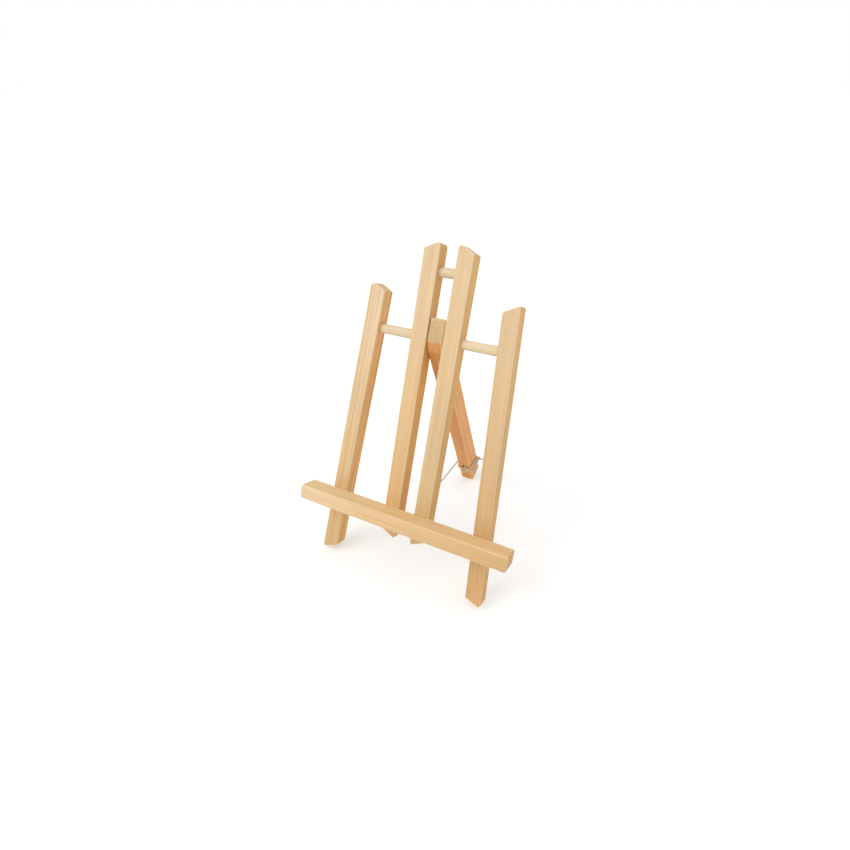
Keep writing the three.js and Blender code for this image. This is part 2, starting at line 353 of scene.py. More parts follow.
def latewood_bands(shader, shifted, ring_width):
    """How much latewood there is, from 0 to 1: the outer part of each ring, stronger in some years."""
    slow = shader.noise(shader.stretch(shifted, WANDER_GRAIN), 1.0, 3.0, 0.55)
    wander = shader.math("MULTIPLY", shader.math("SUBTRACT", slow, 0.5), RING_WANDER)
    flat = shader.node("ShaderNodeVectorMath", {0: shifted, 1: (1, 1, 0)}, operation="MULTIPLY")
    radius = shader.node("ShaderNodeVectorMath", {0: flat.outputs[0]}, operation="LENGTH")
    distance = shader.math("ADD", radius.outputs["Value"], wander)
    ring = shader.math("DIVIDE", distance, ring_width)
    year = shader.noise(shader.math("MULTIPLY", shader.math("FLOOR", ring), YEAR_STEP), 1.0, 0.0)

    latewood = shader.node("ShaderNodeValToRGB", {0: shader.math("FRACT", ring)})
    ramp = latewood.color_ramp
    ramp.interpolation = "B_SPLINE"
    ramp.elements[0].position = 0.3
    ramp.elements[0].color = (0, 0, 0, 1)
    ramp.elements[1].position = 0.86
    ramp.elements[1].color = (1, 1, 1, 1)
    fall = ramp.elements.new(0.99)
    fall.color = (0.05, 0.05, 0.05, 1)
    return shader.math("MULTIPLY", latewood.outputs[0], shader.remap(year, 0.3, 0.7, 0.45, 1.0))


def grain_noises(shader, shifted):
    """The figure along the grain, from broad blotches to streaks, single fibres and flecks."""
    return {
        "fibres": shader.noise(shader.stretch(shifted, FIBRE_GRAIN), 1.0, 4.0, 0.6),
        "streaks": shader.noise(shader.stretch(shifted, STREAK_GRAIN), 1.0, 3.0, 0.55),
        "flecks": shader.noise(shader.stretch(shifted, FLECK_GRAIN), 1.0, 2.0, 0.5),
        "blotches": shader.noise(shader.stretch(shifted, BLOTCH_GRAIN), 1.0, 2.0, 0.5),
    }


def grain_colour(shader, band, grain, early, late, contrast):
    """Mixes the earlywood's colour to the latewood's by the bands and the finer grain, with dark flecks."""
    amount = shader.math("MULTIPLY", band, contrast)
    streaks = shader.remap(grain["streaks"], 0.35, 0.7, -0.12, 0.3 * contrast + 0.1)
    fibres = shader.remap(grain["fibres"], 0.3, 0.7, -0.14, 0.2)
    amount = shader.math("ADD", shader.math("ADD", amount, streaks), fibres)
    colour = shader.mix(shader.math("MAXIMUM", amount, 0.0), early, late)
    tone = shader.remap(grain["blotches"], 0.3, 0.7, 0.93, 1.05)
    grey = shader.node("ShaderNodeCombineColor", {0: tone, 1: tone, 2: tone}).outputs[0]
    colour = shader.mix(1.0, colour, grey, "MULTIPLY")
    return shader.tint(shader.remap(grain["flecks"], 0.66, 0.74, 0.0, 0.35), colour, FLECK_TINT)


def tint_by_place(shader, colour, place, grain, tints):
    """Tints the end grain, paints shade on the side faces and towards the foot, and makes the sanded rims paler
    with a painted highlight.
    """
    facing = shader.split(shader.node("ShaderNodeTexCoord").outputs["Normal"])
    end = shader.remap(shader.math("ABSOLUTE", facing[2]), 0.45, 0.68, 0.0, 1.0)
    colour = shader.tint(end, colour, tints["end"])
    # Painted shade: the faces that look along the piece's own X, either way, are darker and more saturated.
    side = shader.remap(shader.math("ABSOLUTE", facing[0]), 0.4, 0.9, 0.0, 1.0)
    colour = shader.tint(side, colour, tints["side"])
    # Painted shade: darker and warmer towards the low end of the piece's own Z, mixed with a random blotchy tone.
    depth = shader.remap(shader.split(place)[2], 0.1, -0.11, 0.0, 1.0)
    low_shade_and_blotch = shader.math("ADD", depth, shader.remap(grain["blotches"], 0.3, 0.7, -0.12, 0.12))
    off_side = shader.math("SUBTRACT", 1.0, shader.math("MULTIPLY", side, 0.6))
    colour = shader.tint(shader.math("MULTIPLY", low_shade_and_blotch, off_side), colour, tints["foot"])
    # The sanded rims are paler: partly the sanded wood's own colour, partly a painted highlight along the edges.
    sheen_and_shade_mask = shader.node("ShaderNodeAttribute", attribute_name="sanded_sheen_and_hollow_shade").outputs["Fac"]
    return shader.mix(shader.math("MULTIPLY", sheen_and_shade_mask, 0.35), colour, SANDED_HIGHLIGHT_WOOD)


def paint_hole_shade(shader, colour, place, across, up, radius):
    """Paints shade in and just round a drilled hole, given by its place on the piece's own Y and Z."""
    spot = shader.split(place)
    aside = shader.math("POWER", shader.math("SUBTRACT", spot[1], across), 2.0)
    below = shader.math("POWER", shader.math("SUBTRACT", spot[2], up), 2.0)
    away = shader.math("SQRT", shader.math("ADD", aside, below))
    # Painted shade: dark brown inside the hole, fading out round its mouth.
    hole_shade = shader.remap(away, radius * 1.25, radius * 1.02, 0.0, 0.85)
    return shader.mix(hole_shade, colour, srgb(132, 74, 30))


def make_wood(name, early, late, pith, ring_width, contrast, drift, seed, tints=PINE_TINTS, hole=None):
    """Solid pine: growth rings round a pith that runs along the piece, so every face shows its own cut.

    Coordinates are the piece's own, with Z along the grain. pith is the ring centre across the piece, in
    metres, and drift is how much the grain leans, in radians. hole is a drilled hole with painted shade in
    and round it: its place on the piece's own Y and Z, and its radius.
    """
    shader = Shader(name)
    place = shader.node("ShaderNodeTexCoord").outputs["Object"]
    shifted = shader.stretch(place, (1, 1, 1), (-pith[0], -pith[1], seed), (drift[0], drift[1], 0))
    band = latewood_bands(shader, shifted, ring_width)
    grain = grain_noises(shader, shifted)
    colour = grain_colour(shader, band, grain, early, late, contrast)
    colour = tint_by_place(shader, colour, place, grain, tints)
    if hole is not None:
        colour = paint_hole_shade(shader, colour, place, *hole)
    shader.feed(shader.bsdf.inputs["Base Color"], colour)

    roughness = shader.remap(grain["fibres"], 0.3, 0.7, 0.5, 0.68)
    roughness = shader.math("SUBTRACT", roughness, shader.math("MULTIPLY", band, 0.08))
    shader.feed(shader.bsdf.inputs["Roughness"], roughness)
    shader.bsdf.inputs["Specular IOR Level"].default_value = 0.35
    pores = shader.math("ADD", grain["fibres"], shader.math("MULTIPLY", grain["flecks"], 0.5))
    relief = shader.bump(pores, 0.06 * MM, 0.5)
    relief = shader.bump(band, 0.05 * MM, 0.6, relief)
    shader.feed(shader.bsdf.inputs["Normal"], relief)
    return shader.material


def make_cord_material():
    """Undyed cotton string: soft, matt, with fine fibres, and painted shade in the hollows between its strands."""
    shader = Shader("cotton_string")
    place = shader.node("ShaderNodeTexCoord").outputs["Object"]
    fibres = shader.noise(place, 9000.0, 3.0, 0.6)
    tufts = shader.noise(place, 1700.0, 2.0, 0.5)
    sheen_and_shade_mask = shader.node("ShaderNodeAttribute", attribute_name="sanded_sheen_and_hollow_shade").outputs["Fac"]
    colour = shader.mix(fibres, srgb(204, 183, 153), srgb(230, 215, 191))
    colour = shader.mix(shader.remap(tufts, 0.35, 0.7, 0.0, 0.5), colour, srgb(208, 186, 156))
    # Painted shade: darker on each strand's inner side, in the hollows between the strands.
    colour = shader.mix(shader.math("MULTIPLY", sheen_and_shade_mask, 0.75), colour, srgb(132, 100, 66))
    shader.feed(shader.bsdf.inputs["Base Color"], colour)
    shader.bsdf.inputs["Roughness"].default_value = 0.92
    shader.bsdf.inputs["Specular IOR Level"].default_value = 0.15
    shader.bsdf.inputs["Sheen Weight"].default_value = 0.25
    shader.feed(shader.bsdf.inputs["Normal"], shader.bump(fibres, 0.08 * MM, 0.7))
    return shader.material


def make_steel():
    """Bright wire-nail steel with a few rubbed streaks."""
    shader = Shader("nail_steel")
    place = shader.node("ShaderNodeTexCoord").outputs["Object"]
    scuffs = shader.noise(shader.stretch(place, (2500, 900, 900)), 1.0, 4.0, 0.6)
    colour = shader.mix(scuffs, srgb(142, 140, 136), srgb(196, 194, 190))
    shader.feed(shader.bsdf.inputs["Base Color"], colour)
    shader.feed(shader.bsdf.inputs["Roughness"], shader.remap(scuffs, 0.3, 0.7, 0.25, 0.5))
    shader.bsdf.inputs["Metallic"].default_value = 1.0
    shader.feed(shader.bsdf.inputs["Normal"], shader.bump(scuffs, 0.03 * MM, 0.4))
    return shader.material


# ---------------------------------------------------------------- mesh helpers


def span(node, direction):
    """How far a CAD node reaches along a direction: its lowest and highest value."""
    reaches = [vertex.co.dot(direction) for vertex in frame["nodes"][node].data.vertices]
    return min(reaches), max(reaches)


def local_box(node, across, back, up):
    """The matrix of a frame at a node's middle, turned to three axes, and the node's size along them."""
    axes = (across, back, up)
    spans = [span(node, axis) for axis in axes]
    centre = sum((axis * (low + high) / 2 for axis, (low, high) in zip(axes, spans)), Vector())
    matrix = Matrix(axes).transposed().to_4x4()
    matrix.translation = centre
    return matrix, Vector([high - low for low, high in spans])


def to_object(name, mesh, matrix, material):
    mesh.name = name
    mesh.materials.clear()
    mesh.materials.append(material)
    piece = bpy.data.objects.new(name, mesh)
    bpy.context.scene.collection.objects.link(piece)
    piece.matrix_world = matrix
    return piece


def new_mesh_with_light_layer():
    """An empty mesh to build in, and its layer for painted light: a painted highlight on the sanded rims, and
    painted shade in the string's hollows.
    """
    building = bmesh.new()
    return building, building.verts.layers.float.new("sanded_sheen_and_hollow_shade")


def skin_rings(building, rings):
    """Joins rings of as many points each into a closed tube."""
    for first, second in zip(rings, rings[1:]):
        for i in range(len(first)):
            j = (i + 1) % len(first)
            building.faces.new((first[i], first[j], second[j], second[i]))
    building.faces.new(list(reversed(rings[0])))
    building.faces.new(rings[-1])


def to_mesh(building, name, smooth=True):
    """The mesh of what was built, with its faces pointing out."""
    bmesh.ops.recalc_face_normals(building, faces=building.faces)
    for face in building.faces:
        face.smooth = smooth
    mesh = bpy.data.meshes.new(name)
    building.to_mesh(mesh)
    building.free()
    return mesh


def rounded_outline(corners, radii, arc_steps=6):
    """Points and outward normals round a convex outline, given counter-clockwise, with rounded corners."""
    count = len(corners)
    normals = []
    for i in range(count):
        edge = (corners[(i + 1) % count] - corners[i]).normalized()
        normals.append(Vector((edge.y, -edge.x)))
    arcs = []
    for i in range(count):
        before, after = normals[i - 1], normals[i]
        turn = before.angle(after)
        middle = (before + after).normalized()
        centre = corners[i] - middle * radii[i] / math.cos(turn / 2)
        arc = []
        for k in range(arc_steps + 1):
            normal = before.slerp(after, k / arc_steps)
            arc.append((centre + normal * radii[i], normal))
        arcs.append(arc)
    ring = []
    for i in range(count):
        ring += arcs[i]
        start, normal = arcs[i][-1]
        end = arcs[(i + 1) % count][0][0]
        pieces = max(1, round((end - start).length / OUTLINE_RUN))
        ring += [(start.lerp(end, k / pieces), normal) for k in range(1, pieces)]
    return ring


def rim_depth(point, side, seed, soft_above):
    """How far the rim is sanded back at a point of the outline, a little unevenly, as by hand."""
    softness = 0.0
    if soft_above is not None:
        softness = min(max((point.y - soft_above) / SOFT_RUN, 0.0), 1.0)
    typical = EDGE_EASE + (SOFT_EASE - EDGE_EASE) * softness
    place = Vector((point.x * 60, side * 3 + seed, point.y * 60))
    depth = typical * (1 + 0.28 * noise.noise(place) + 0.12 * noise.noise(place * 4))
    return min(depth, MOST_EASE)


def eased_prism(outline, thickness, seed, soft_above=None):
    """A solid of an outline in XZ, thick along Y, with eased rims that are softer above soft_above."""
    building, sanded_sheen_and_hollow_shade = new_mesh_with_light_layer()
    steps = [(k, -1) for k in range(RIM_STEPS + 1)]
    steps += [(k, 1) for k in reversed(range(RIM_STEPS + 1))]
    rings = []
    for k, side in steps:
        angle = k / RIM_STEPS * math.pi / 2
        ring = []
        for point, normal in outline:
            depth = rim_depth(point, side, seed, soft_above)
            inset = point - normal * depth * (1 - math.sin(angle))
            y = side * (thickness / 2 - depth * (1 - math.cos(angle)))
            vertex = building.verts.new((inset.x, y, inset.y))
            # Strongest in the middle of the rim: the paler sanded wood and a painted highlight.
            vertex[sanded_sheen_and_hollow_shade] = math.sin(2 * angle)
            ring.append(vertex)
        rings.append(ring)
    skin_rings(building, rings)
    return to_mesh(building, "prism")


def lathe(profile, sides=48, smooth=True):
    """A closed solid turned about Z from (radius, z) points; the first and last lie on the axis."""
    building, _ = new_mesh_with_light_layer()
    angles = [2 * math.pi * i / sides for i in range(sides)]
    rings = []
    for radius, z in profile:
        if radius == 0:
            rings.append([building.verts.new((0, 0, z))])
        else:
            places = [(radius * math.cos(angle), radius * math.sin(angle), z) for angle in angles]
            rings.append([building.verts.new(place) for place in places])
    for first, second in zip(rings, rings[1:]):
        for i in range(sides):
            j = (i + 1) % sides
            if len(first) == 1:
                building.faces.new((first[0], second[j], second[i]))
            elif len(second) == 1:
                building.faces.new((first[i], first[j], second[0]))
            else:
                building.faces.new((first[i], first[j], second[j], second[i]))
    return to_mesh(building, "lathe", smooth)


def hole_cutter(mouth, inward, depth, radius):
    """A tool for one round hole: its mouth is slightly chamfered, and it starts outside the wood."""
    profile = [
        (0, -OUTSIDE),
        (radius + HOLE_CHAMFER + OUTSIDE, -OUTSIDE),
        (radius, HOLE_CHAMFER),
        (radius, depth),
        (0, depth),
    ]
    cutter = bpy.data.objects.new("cutter", lathe(profile, smooth=False))
    bpy.context.scene.collection.objects.link(cutter)
    turn = inward.to_track_quat("Z", "Y").to_matrix().to_4x4()
    cutter.matrix_world = Matrix.Translation(mouth) @ turn
    return cutter


def through_hole_cutters(near, far, radius):
    """Two tools for a hole that goes right through, so that both its mouths are chamfered."""
    inward = (far - near).normalized()
    return [
        hole_cutter(near, inward, (far - near).length + OVERSHOOT, radius),
        hole_cutter(far, -inward, OVERSHOOT, radius),
    ]


def remove_slivers(mesh):
    """Joins points that lie on each other, closes any gap this leaves, and splits the large faces."""
    clean = bmesh.new()
    clean.from_mesh(mesh)
    bmesh.ops.remove_doubles(clean, verts=clean.verts, dist=SAME_PLACE)
    bmesh.ops.dissolve_degenerate(clean, edges=clean.edges, dist=SAME_PLACE)
    bmesh.ops.holes_fill(clean, edges=[edge for edge in clean.edges if edge.is_boundary])
    large = [face for face in clean.faces if len(face.verts) > 4]
    bmesh.ops.triangulate(clean, faces=large, ngon_method="BEAUTY")
    clean.to_mesh(mesh)
    clean.free()


def cut_holes(piece, cutters):
    """Cuts the tools out of a piece and removes them."""
    for cutter in cutters:
        modifier = piece.modifiers.new("hole", "BOOLEAN")
        modifier.operation = "DIFFERENCE"
        modifier.solver = "EXACT"
        modifier.object = cutter
    bpy.context.view_layer.update()
    evaluated = piece.evaluated_get(bpy.context.evaluated_depsgraph_get())
    mesh = bpy.data.meshes.new_from_object(evaluated)
    piece.modifiers.clear()
    remove_slivers(mesh)
    piece.data = mesh
    for cutter in cutters:
        bpy.data.objects.remove(cutter)


def finish_piece(piece, body, node):
    """Hands a piece to its body, in the place of a CAD node."""
    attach(piece, body)
    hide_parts(node)


def finish_wood(piece, body, node):
    """Keeps flat faces flat in the shading, and hands the piece to its body."""
    flat_faces = piece.modifiers.new("flat faces", "WEIGHTED_NORMAL")
    flat_faces.weight = 90
    flat_faces.keep_sharp = True
    finish_piece(piece, body, node)


# ---------------------------------------------------------------- string


def resample(points, step):
    """A smooth curve through the points, as points about a step apart."""
    dense = []
    last = len(points) - 1
    for i in range(last):
        before = points[max(i - 1, 0)]
        start, end = points[i], points[i + 1]
        after = points[min(i + 2, last)]
        run = (end - start).length
        into = (end - before).normalized() * run
        out = (after - start).normalized() * run
        for k in range(12):
            t = k / 12
            dense.append(
                start * (2 * t ** 3 - 3 * t ** 2 + 1)
                + into * (t ** 3 - 2 * t ** 2 + t)
                + end * (-2 * t ** 3 + 3 * t ** 2)
                + out * (t ** 3 - t ** 2)
            )
    dense.append(points[-1])
    even = [dense[0]]
    carried = 0.0
    for first, second in zip(dense, dense[1:]):
        run = (second - first).length
        while carried + run >= step:
            share = (step - carried) / run
            first = first.lerp(second, share)
            even.append(first)
            run = (second - first).length
            carried = 0.0
        carried += run
    even.append(dense[-1])
    return even


def line_frames(line):
    """Two directions square to the line at each of its points, which turn with it and don't spin."""
    last = len(line) - 1
    tangents = [(line[min(i + 1, last)] - line[max(i - 1, 0)]).normalized() for i in range(last + 1)]
    normal = tangents[0].orthogonal().normalized()
    frames = []
    for tangent in tangents:
        normal = (normal - tangent * normal.dot(tangent)).normalized()
        frames.append((normal.copy(), tangent.cross(normal)))
    return frames


def add_strand(building, sanded_sheen_and_hollow_shade, line, frames, strand, fray):
    """One of the three strands, a tube that winds round the line and stands away from it where it frays."""
    strand_radius = LAID_RADIUS * 0.5
    total = CORD_STEP * (len(line) - 1)
    rings = []
    for i, (centre, (side, up)) in enumerate(zip(line, frames)):
        travelled = i * CORD_STEP
        opening = 0.0
        if fray > 0:
            opening = max(0.0, (travelled - total + fray) / fray)
        angle = 2 * math.pi * (travelled / CORD_PITCH + strand / 3)
        reach = (LAID_RADIUS - strand_radius) * (1 + 1.6 * opening ** 2)
        middle = centre + (side * math.cos(angle) + up * math.sin(angle)) * reach
        fuzz = 1 + 0.07 * noise.noise(middle * 2600)
        ring = []
        for k in range(STRAND_SIDES):
            around = 2 * math.pi * k / STRAND_SIDES
            outward = side * math.cos(around) + up * math.sin(around)
            vertex = building.verts.new(middle + outward * strand_radius * fuzz)
            # Painted shade: strongest on the side that faces the cord's middle, in the hollows between the
            # strands.
            vertex[sanded_sheen_and_hollow_shade] = max(0.0, -math.cos(around - angle))
            ring.append(vertex)
        rings.append(ring)
    skin_rings(building, rings)


def twisted_cord(points, fray=0.0):
    """Three strands laid round a smooth line. The last stretch can open out, where a cut end frays."""
    line = resample(points, CORD_STEP)
    frames = line_frames(line)
    building, sanded_sheen_and_hollow_shade = new_mesh_with_light_layer()
    for strand in range(3):
        add_strand(building, sanded_sheen_and_hollow_shade, line, frames, strand, fray)
    return to_mesh(building, "cord"), line


def overhand_knot(centre, across, up):
    """The middle of an overhand knot: an open trefoil in the plane of two directions."""
    out = across.cross(up)
    points = []
    steps = 22
    opening = 0.42
    for i in range(steps + 1):
        angle = math.pi + opening + (2 * math.pi - 2 * opening) * i / steps
        x = (math.sin(angle) + 2 * math.sin(2 * angle)) * KNOT_SIZE / 3
        y = (math.cos(angle) - 2 * math.cos(2 * angle)) * KNOT_SIZE / 3
        z = -math.sin(3 * angle) * KNOT_THICKNESS
        points.append(centre + across * x + up * y + out * z)
    return points


def leg_point(x, depth, down):
    """A place on the prop leg: across, back through its depth and down from the hinge, in millimetres."""
    return HINGE + (ACROSS * x + LEG_BACK * depth - LEG_UP * down) * MM


def make_string_piece(name, body, node, points, material, fray=0.0):
    """A length of the string that lies on one body and moves with it."""
    mesh, _ = twisted_cord(points, fray)
    piece = to_object(name, mesh, Matrix.Identity(4), material)
    finish_piece(piece, body, node)
    return piece


def stopper_points():
    """The knot on the outer side of the left inner upright, and its short end."""
    low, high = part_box("stile_knot")
    points = overhand_knot((low + high) / 2, PANEL_BACK, PANEL_UP)
    end = points[-1]
    points.append(end + (PANEL_UP * -1.5 + PANEL_BACK * -1) * MM)
    points.append(end + (PANEL_UP * -3.6 + PANEL_BACK * -1.4) * MM)
    return points


def make_cords():
    """The taut string from the upright to the leg, its turns round the leg and the knots at both ends."""
    material = make_cord_material()
    route = [Vector(point) * MM for point in CORD_ROUTE]
    mesh, line = twisted_cord(route)
    cord = to_object("taut_string", mesh, Matrix.Identity(4), material)
    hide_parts("limit_cord")
    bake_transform(cord)

    turns = [leg_point(*place) for place in WRAP_ROUTE]
    wrap = make_string_piece("string_wrap", "prop", "leg_loop", turns, material)
    knot_points = [leg_point(*place) for place in KNOT_LEAD]
    knot_points += overhand_knot(leg_point(*KNOT_CENTRE), -ACROSS, -LEG_UP)
    knot_points += [leg_point(*place) for place in TAIL_ROUTE]
    knot = make_string_piece("string_knot", "prop", "leg_knot", knot_points, material, fray=3 * MM)
    stopper = make_string_piece("stopper_knot", "frame", "stile_knot", stopper_points(), material,
                                fray=1.5 * MM)


# ---------------------------------------------------------------- uprights


def point_loss(radius):
    """How much shorter a mitred point becomes when it is rounded to a radius."""
    half_angle = (math.pi / 2 - MITRE) / 2
    return radius * (1 / math.tan(half_angle) - 1)


def inner_face_x(node, point, side):
    """How far from the middle a splayed upright's inner face lies, at a point's height along the panel."""
    turn = Quaternion(PANEL_BACK, -side * OUTER_SPLAY)
    across = turn @ ACROSS
    low, high = span(node, across)
    face = low if side > 0 else high
    rest = point - ACROSS * point.x
    return abs((face - rest.dot(across)) / across.x)


def dowel_radius(dowel):
    low, high = span(dowel, PANEL_UP)
    return (high - low) / 2


def dowel_hole_cutters(row, side, node, dowel):
    """The tools for one dowel's hole in one upright: blind, or through where the long dowel passes."""
    low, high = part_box(node)
    dowel_low, dowel_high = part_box(dowel)
    axis_point = (dowel_low + dowel_high) / 2
    radius = dowel_radius(dowel) + FIT
    reach = dowel_high.x + FIT
    if row == "outer":
        inner_face = side * inner_face_x(node, axis_point, side)
        mouth = Vector((inner_face, axis_point.y, axis_point.z))
        return [hole_cutter(mouth, ACROSS * side, reach - abs(inner_face), radius)]
    near, far = (abs(high.x), abs(low.x)) if side < 0 else (low.x, high.x)
    near_mouth = Vector((side * near, axis_point.y, axis_point.z))
    if dowel == "top_dowel":
        return [hole_cutter(near_mouth, ACROSS * side, reach - near, radius)]
    far_mouth = Vector((side * far, axis_point.y, axis_point.z))
    return through_hole_cutters(near_mouth, far_mouth, radius)


def nail_hole_cutters(nail):
    """The sunk seat of the head and the shank's hole, at the back of an upright."""
    matrix, size = local_box(nail, ACROSS, PANEL_UP, PANEL_BACK)
    mouth = matrix.translation + PANEL_BACK * (size.z / 2 + NAIL_SUNK)
    return [
        hole_cutter(mouth, -PANEL_BACK, NAIL_SEAT_DEPTH, size.x / 2 + FIT),
        hole_cutter(mouth - PANEL_BACK * MM, -PANEL_BACK, NAIL_HOLE_DEPTH, NAIL_HOLE_RADIUS),
    ]


def stile_hole_cutters(row, side_name, side, node):
    """The hole tools of one upright, placed from the dowels, nail and string that go in them."""
    dowels = ("long_dowel",) if row == "outer" else ("long_dowel", "top_dowel")
    cutters = []
    for dowel in dowels:
        cutters += dowel_hole_cutters(row, side, node, dowel)
    cutters += nail_hole_cutters(f"ledge_nail_{row}_{side_name}")
    if node == "inner_stile_left":
        low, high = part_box(node)
        left_mouth = Vector((low.x, CORD_EXIT.y, CORD_EXIT.z))
        right_mouth = Vector((high.x, CORD_EXIT.y, CORD_EXIT.z))
        cutters += through_hole_cutters(left_mouth, right_mouth, CORD_RADIUS + CORD_HOLE_MARGIN)
    return cutters


def make_stile(row, side, material):
    """One upright, mitred at both ends, with its dowel, nail and string holes."""
    side_name = "left" if side < 0 else "right"
    node = f"{row}_stile_{side_name}"
    splay = -side * OUTER_SPLAY if row == "outer" else 0.0
    turn = Quaternion(PANEL_BACK, splay)
    matrix, size = local_box(node, turn @ ACROSS, PANEL_BACK, turn @ PANEL_UP)
    pointed = side if row == "outer" else -side
    half_width, half_length = size.x / 2, size.z / 2
    bottom = -half_length - point_loss(POINT_RADIUS)
    top_radius = WORN_TOPS.get(node, POINT_RADIUS)
    top = half_length + point_loss(top_radius)
    drop = size.x * math.tan(MITRE)
    corners = [
        Vector((pointed * half_width, bottom)),
        Vector((pointed * half_width, top)),
        Vector((-pointed * half_width, top - drop)),
        Vector((-pointed * half_width, bottom + drop)),
    ]
    radii = [POINT_RADIUS, top_radius, CORNER_RADIUS, CORNER_RADIUS]
    if pointed < 0:
        corners.reverse()
        radii.reverse()
    seed = 11.0 * side + (5.0 if row == "outer" else 0.0)
    mesh = eased_prism(rounded_outline(corners, radii), size.y, seed)
    piece = to_object(f"{row}_upright_{side_name}", mesh, matrix, material)
    bpy.context.view_layer.update()
    cut_holes(piece, stile_hole_cutters(row, side_name, side, node))
    finish_wood(piece, "frame", node)


# ---------------------------------------------------------------- ledge, leg, rungs and nails


def make_ledge(material):
    matrix, size = local_box("ledge", PANEL_UP, PANEL_BACK, -ACROSS)
    half_width, half_length = size.x / 2, size.z / 2
    corners = [
        Vector((-half_width, -half_length)),
        Vector((half_width, -half_length)),
        Vector((half_width, half_length)),
        Vector((-half_width, half_length)),
    ]
    outline = rounded_outline(corners, [CORNER_RADIUS] * 4)
    piece = to_object("front_ledge", eased_prism(outline, size.y, 3.0), matrix, material)
    finish_wood(piece, "frame", "ledge")


def leg_outline(middle, half):
    """The leg seen from its side, round a middle point, and the height of its nose's top."""
    foot = span("rear_leg", LEG_UP)[0] - middle.dot(LEG_UP)
    cut_at = span("rear_leg", PANEL_BACK)[0] - middle.dot(PANEL_BACK)

    def cut_height(depth):
        return (cut_at - depth * LEG_BACK.dot(PANEL_BACK)) / LEG_UP.dot(PANEL_BACK)

    nose_depth = -half + LEG_NOSE_CUT * math.sin(LEG_OPENING)
    nose_height = cut_height(nose_depth)
    corners = [
        Vector((-half, foot)),
        Vector((half, foot)),
        Vector((half, cut_height(half))),
        Vector((nose_depth, nose_height)),
        Vector((-half, cut_height(-half) - LEG_NOSE_CUT)),
    ]
    radii = [CORNER_RADIUS, CORNER_RADIUS, LEG_POINT_RADIUS, LEG_CREASE_RADIUS, LEG_NOSE_RADIUS]
    return rounded_outline(corners, radii, arc_steps=10), nose_height


def make_leg():
    """The prop leg: square at the floor, its top cut level with the panel's front and softened below."""
    side_axis = LEG_UP.cross(LEG_BACK)
    matrix, size = local_box("rear_leg", LEG_BACK, side_axis, LEG_UP)
    outline, nose_height = leg_outline(matrix.translation, size.x / 2)
    string_height = HINGE - LEG_UP * LEG_HOLE_DOWN
    hole_up = (string_height - matrix.translation).dot(LEG_UP)
    hole_across = (HINGE - matrix.translation).dot(side_axis)
    # The leg's pine is darker and more orange than the other pieces: painted shade, as the leg lies in shade.
    material = make_wood(
        "pine_leg", srgb(238, 177, 111), srgb(203, 128, 66), pith=(-0.02, 0.045), ring_width=2.6 * MM,
        contrast=0.5, drift=(0.004, 0.012), seed=2.9, tints=LEG_TINTS,
        hole=(hole_across, hole_up, LEG_HOLE_RADIUS),
    )
    mesh = eased_prism(outline, size.y, 7.0, nose_height + SOFT_START)
    piece = to_object("prop_leg", mesh, matrix, material)
    bpy.context.view_layer.update()
    half_width = size.y / 2
    left_mouth, right_mouth = HINGE - ACROSS * half_width, HINGE + ACROSS * half_width
    front, back = span("rear_leg", LEG_BACK)
    front_mouth = string_height + LEG_BACK * (front - string_height.dot(LEG_BACK))
    back_mouth = string_height + LEG_BACK * (back - string_height.dot(LEG_BACK))
    cutters = through_hole_cutters(left_mouth, right_mouth, dowel_radius("long_dowel") + FIT)
    cutters += through_hole_cutters(front_mouth, back_mouth, LEG_HOLE_RADIUS)
    cut_holes(piece, cutters)
    finish_wood(piece, "prop", "rear_leg")


def make_dowel(node, material):
    """A turned rod whose surface is very slightly uneven."""
    matrix, size = local_box(node, PANEL_BACK, PANEL_UP, ACROSS)
    radius, half = size.y / 2, size.z / 2
    profile = [(0, -half), (radius - DOWEL_CHAMFER, -half), (radius, -half + DOWEL_CHAMFER)]
    runs = round(2 * half / (1.5 * MM))
    for i in range(1, runs):
        z = -half + DOWEL_CHAMFER + (2 * half - 2 * DOWEL_CHAMFER) * i / runs
        loss = DOWEL_UNEVENNESS * (0.5 + 0.5 * noise.noise(Vector((0, 0, z * 300))))
        profile.append((radius - loss, z))
    profile += [(radius, half - DOWEL_CHAMFER), (radius - DOWEL_CHAMFER, half), (0, half)]
    piece = to_object(node.replace("dowel", "rung"), lathe(profile), matrix, material)
    finish_wood(piece, "frame", node)


def make_nail(node, material):
    """A wire nail with a slightly domed head, lying along the panel's depth."""
    box, size = local_box(node, ACROSS, PANEL_UP, PANEL_BACK)
    head, length = size.x / 2, size.z
    profile = [
        (0, 0),
        (head * 0.55, -0.06 * MM),
        (head * 0.85, -0.16 * MM),
        (head, -0.34 * MM),
        (head * 0.97, -0.62 * MM),
        (head * 0.8, -0.78 * MM),
        (1.05 * MM, -0.95 * MM),
        (NAIL_SHANK_RADIUS, -1.4 * MM),
        (NAIL_SHANK_RADIUS, -length + 3 * MM),
        (NAIL_SHANK_RADIUS / 2, -length + 1 * MM),
        (0, -length),
    ]
    top = box.translation + PANEL_BACK * size.z / 2
    matrix = Matrix.Translation(top) @ PANEL_BACK.to_track_quat("Z", "Y").to_matrix().to_4x4()
    mesh = lathe(profile, sides=32)
    piece = to_object(node.replace("ledge_nail", "nail"), mesh, matrix, material)
    finish_piece(piece, "frame", node)


